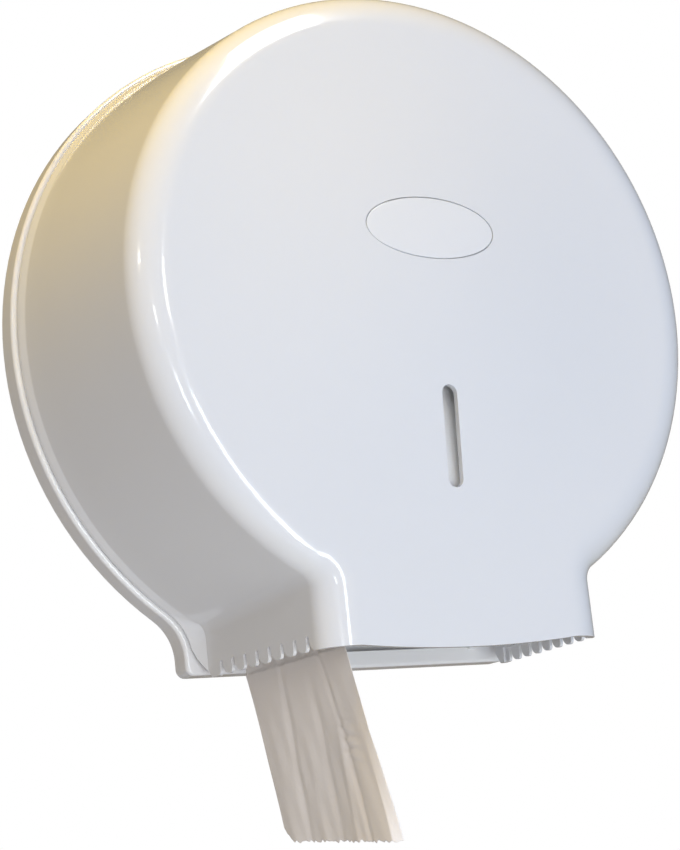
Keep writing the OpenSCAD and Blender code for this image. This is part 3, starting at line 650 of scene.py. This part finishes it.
# The sight slot, right through the face
SLOT_HALF, SLOT_LOW, SLOT_HIGH = 3.8, -86.4, -42.2
CUT_FROM, CUT_DEEP = 0.1, 0.03
slot_points = [(x * MM, z * MM) for x, z in stadium(SLOT_HALF, SLOT_LOW, SLOT_HIGH)]
cut = solid_from("slot", slot_points, standing(CUT_FROM), Vector((0, -CUT_DEEP, 0)))
combine(cover, cut, "DIFFERENCE")

# ---------------------------------------------------------------- badge
# A thin bare oval plate, pressed into a recess of its own outline so that it lies flush with
# the domed face. A fine groove shows all round it.
BADGE_Z, BADGE_W, BADGE_H, BADGE_THICK = 27.8, 32.2, 13.9, 1.2
GROOVE, RECESS_ABOVE, RECESS_ROOM = 0.45, 4.0, 0.1
OVAL_STEPS, OVAL_RINGS = 96, 6


def face_oval(name, grow, front, rear):
    """An oval plate that follows the domed face, from "front" to "rear" under its surface."""
    bpy.ops.object.select_all(action="DESELECT")
    bpy.ops.mesh.primitive_circle_add(vertices=OVAL_STEPS, radius=1)
    plate_piece = bpy.context.active_object
    plate_piece.name = name
    turns = [2 * math.pi * k / OVAL_STEPS for k in range(OVAL_STEPS)]

    def place(share, sunk):
        points = []
        for turn in turns:
            x = (BADGE_W + grow) * share * math.sin(turn)
            z = BADGE_Z + (BADGE_H + grow) * share * math.cos(turn)
            points.append(Vector((x, -FACE_DEPTH - dome(x, z) + sunk, z)) * MM)
        return points

    stack = [place((k + 1) / OVAL_RINGS, rear) for k in range(OVAL_RINGS)]
    stack += [place((OVAL_RINGS - k) / OVAL_RINGS, front) for k in range(OVAL_RINGS)]
    bpy.ops.object.mode_set(mode="EDIT")
    bpy.ops.mesh.select_all(action="SELECT")
    grid = bmesh.from_edit_mesh(plate_piece.data)
    for vertex, point in zip(grid.verts, stack[0]):
        vertex.co = point
    bpy.ops.mesh.edge_face_add()
    # The middle is filled: from here only its ring of edges is pulled out
    grid = bmesh.from_edit_mesh(plate_piece.data)
    for face in grid.faces:
        face.select_set(False)
    for edge in grid.edges:
        edge.select_set(True)
    chain = range(OVAL_STEPS)
    for points in stack[1:]:
        chain = next_ring(plate_piece, chain, points, bpy.ops.mesh.extrude_edges_move)
    bpy.ops.mesh.edge_face_add()
    bpy.ops.mesh.select_all(action="SELECT")
    bpy.ops.mesh.normals_make_consistent(inside=False)
    bpy.ops.object.mode_set(mode="OBJECT")
    return plate_piece


recess = face_oval("recess", GROOVE, -RECESS_ABOVE, BADGE_THICK + RECESS_ROOM)
combine(cover, recess, "DIFFERENCE")

cover_plastic = Finish("cover_plastic", Roughness=0.1, Coat_Weight=0.6)
cover_plastic.shader.inputs["Coat Roughness"].default_value = 0.03
cover_cloud = cover_plastic.noise(7.0, 4.0)
cover_plastic.feed(
    "Base Color", cover_plastic.blend(cover_cloud, (0.76, 0.775, 0.8), (0.785, 0.795, 0.815))
)
cover_plastic.feed("Roughness", 0.12 + 0.07 * cover_plastic.noise(45.0, 4.0))
cover_plastic.bump(cover_plastic.noise(55.0, 2.0), 0.00002, 0.35)
finish_edges(cover, 0.5 * MM, 35, 2)
wear(cover, cover_plastic)
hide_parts("front_cover")
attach(cover, "cover")

badge = face_oval("badge_plate_made", 0.0, 0.0, BADGE_THICK)
badge_plastic = Finish("badge_plastic", Roughness=0.16, Coat_Weight=0.5)
badge_plastic.shader.inputs["Coat Roughness"].default_value = 0.05
badge_cloud = badge_plastic.noise(30.0)
badge_plastic.feed(
    "Base Color", badge_plastic.blend(badge_cloud, (0.79, 0.804, 0.823), (0.81, 0.818, 0.837))
)
badge_plastic.bump(badge_plastic.noise(350.0), 0.00002, 0.4)
finish_edges(badge, 0.35 * MM, 35, 2)
wear(badge, badge_plastic)
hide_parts("badge_plate")
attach(badge, "cover")

# ---------------------------------------------------------------- lock
# A small cam lock in the top of the cover: a plated barrel held by a hex nut, a plug with a
# key slot, and a steel cam with its washer and screw at the inner end.
lock_metal = Finish("lock_metal", Metallic=1.0, Roughness=0.16)
lock_cloud = lock_metal.noise(120.0)
lock_metal.feed("Base Color", lock_metal.blend(lock_cloud, (0.72, 0.72, 0.73), (0.82, 0.82, 0.83)))
lock_metal.feed("Roughness", 0.12 + 0.12 * lock_metal.noise(300.0, 3.0))
lock_metal.bump(lock_metal.noise(800.0), 0.00001, 0.5)
for node, body, finish, slot in (
    ("lock_barrel", "cover", lock_metal, "lock_metal"),
    ("lock_nut", "cover", lock_metal, "lock_metal"),
    ("lock_plug", "lock", lock_metal, "lock_metal"),
    ("lock_cam", "lock", steel, "steel"),
    ("cam_washer", "lock", steel, "steel"),
    ("cam_screw", "lock", steel, "steel"),
):
    made = clean_copy(node, node + "_made", 0.2 * MM)
    wear(made, finish)
    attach(made, body)

# ---------------------------------------------------------------- paper tail
# The end of the paper, hanging free on the left: thin crepe tissue with long soft creases, a
# front edge that curls back near the bottom, and an end torn off over the teeth.
TAIL_X, BEND_Z, MOUTH_Z = -56.5, -114.0, -150.0
TAIL_REAR_END, TAIL_FRONT_END, TAIL_FALL = -224.9, -231.0, 80.0
MOUTH_DEPTH, TAIL_LEAN, TAIL_DRIFT, PAPER_W = 11.7, 21.3, 3.0, 90.0
ROLL_BACK, LEAVE_R, BEND_EASE = 15.2, 90.7, 7.7
ACROSS, ALONG = 180, 300
leave = math.atan2(BEND_Z, TAIL_X) + 2 * math.pi - math.acos(LEAVE_R / math.hypot(TAIL_X, BEND_Z))
LEAVE_X, LEAVE_Z = LEAVE_R * math.cos(leave), LEAVE_R * math.sin(leave)
# Creases: where across the sheet each starts at the mouth and ends at the bottom, its depth in
# millimetres (a ridge is negative), its half width across, and the height where it begins
CREASES = (
    (0.36, 0.22, 0.8, 0.03, -140),
    (0.14, 0.10, -0.5, 0.05, -165),
    (0.62, 0.50, 0.7, 0.035, -150),
    (0.73, 0.77, 0.9, 0.025, -138),
    (0.82, 0.66, -0.6, 0.03, -160),
    (0.50, 0.36, -0.5, 0.04, -170),
)
CREASE_FOOT, CREASE_SPAN, CREASE_FADE = -230.0, 80.0, 30.0
CURL_FROM, CURL_TOP, CURL_SPAN, CURL_TURN = 0.95, -186.0, 44.0, 48.0
PUCKER, PUCKER_WIDE, PUCKER_HIGH = (0.8, -187.0), 0.07, 9.0
# The torn end: its missing corner, the marks of the teeth and the loose fibres
CORNER_HIGH, CORNER_WIDE, TEAR_PITCH, TEAR_DEEP, FIBRE = 5.4, 0.1, 4.75, 1.4, 0.35
PAPER_THICK, FOLD_Z = 0.12, -80.0


def tail_line(z):
    """Middle line of the tail at a height: its X and the depth of its rear edge."""
    if z < MOUTH_Z:
        share = (MOUTH_Z - z) / TAIL_FALL
        return TAIL_X + TAIL_DRIFT * (1 - (1 - share) ** 2), MOUTH_DEPTH + TAIL_LEAN * share
    depth = ROLL_BACK + (MOUTH_DEPTH - ROLL_BACK) * (z - LEAVE_Z) / (MOUTH_Z - LEAVE_Z)
    # The bend over the hinge is eased over a few millimetres
    over = z - BEND_Z
    eased = 0.5 * (over + math.hypot(over, BEND_EASE) - BEND_EASE * max(0.0, 1 - abs(over) / 60))
    return TAIL_X - (TAIL_X - LEAVE_X) / (LEAVE_Z - BEND_Z) * eased, depth


def tail_end(u):
    """Height of the torn end: slanting, with its rear corner torn off round, and ragged."""
    corner = CORNER_HIGH * max(0.0, 1 - u / CORNER_WIDE) ** 2
    teeth = abs((u * PAPER_W / TEAR_PITCH) % 1 - 0.5)
    fibres = math.sin(61 * u) * math.sin(23 * u + 1) + 0.6 * math.sin(173 * u + 2)
    slant = TAIL_REAR_END + (TAIL_FRONT_END - TAIL_REAR_END) * u
    return slant + corner + TEAR_DEEP * teeth + FIBRE * fibres


def tail_crease(u, z):
    """How far the sheet stands off its middle plane, towards +X."""
    off = 0.0
    for high, low, deep, wide, top in CREASES:
        middle = low + (high - low) * max(0.0, min(1.0, (z - CREASE_FOOT) / CREASE_SPAN)) ** 1.5
        fade = max(0.0, min(1.0, (top - z) / CREASE_FADE))
        off += deep * fade * math.exp(-(((u - middle) / wide) ** 2))
    near = math.exp(-(((u - PUCKER[0]) / PUCKER_WIDE) ** 2) - ((z - PUCKER[1]) / PUCKER_HIGH) ** 2)
    off += 0.5 * near * math.sin(1.1 * (z - PUCKER[1]) + 26 * (u - PUCKER[0]))
    free = max(0.0, min(1.0, (-140 - z) / 50))
    return off + free * (0.8 * math.sin(7.5 * u - 0.02 * z) + 0.12 * math.sin(47 * u + 0.11 * z))


bpy.ops.object.select_all(action="DESELECT")
bpy.ops.mesh.primitive_grid_add(x_subdivisions=ACROSS, y_subdivisions=ALONG, size=2)
tail = bpy.context.active_object
tail.name = "paper_tail_sheet"
for vertex in tail.data.vertices:
    u, v = (vertex.co.x + 1) / 2, (1 - vertex.co.y) / 2
    z = LEAVE_Z + (tail_end(u) - LEAVE_Z) * v
    x, depth = tail_line(z)
    curl = math.radians(CURL_TURN) * max(0.0, min(1.0, (CURL_TOP - z) / CURL_SPAN))
    past_fold = PAPER_W * max(0.0, u - CURL_FROM)
    x += tail_crease(u, z) + past_fold * math.sin(curl)
    depth += PAPER_W * u - past_fold * (1 - math.cos(curl))
    vertex.co = Vector((x, -depth, z)) * MM
skin = tail.modifiers.new("skin", "SOLIDIFY")
skin.thickness = PAPER_THICK * MM
skin.offset = 0
bpy.ops.object.modifier_apply(modifier=skin.name)
bpy.ops.object.shade_smooth()
wear(tail, tissue)
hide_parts("paper_tail")
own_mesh(tail)
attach(tail, "plate")

# ---------------------------------------------------------------- a last update of the scene
bpy.context.view_layer.update()
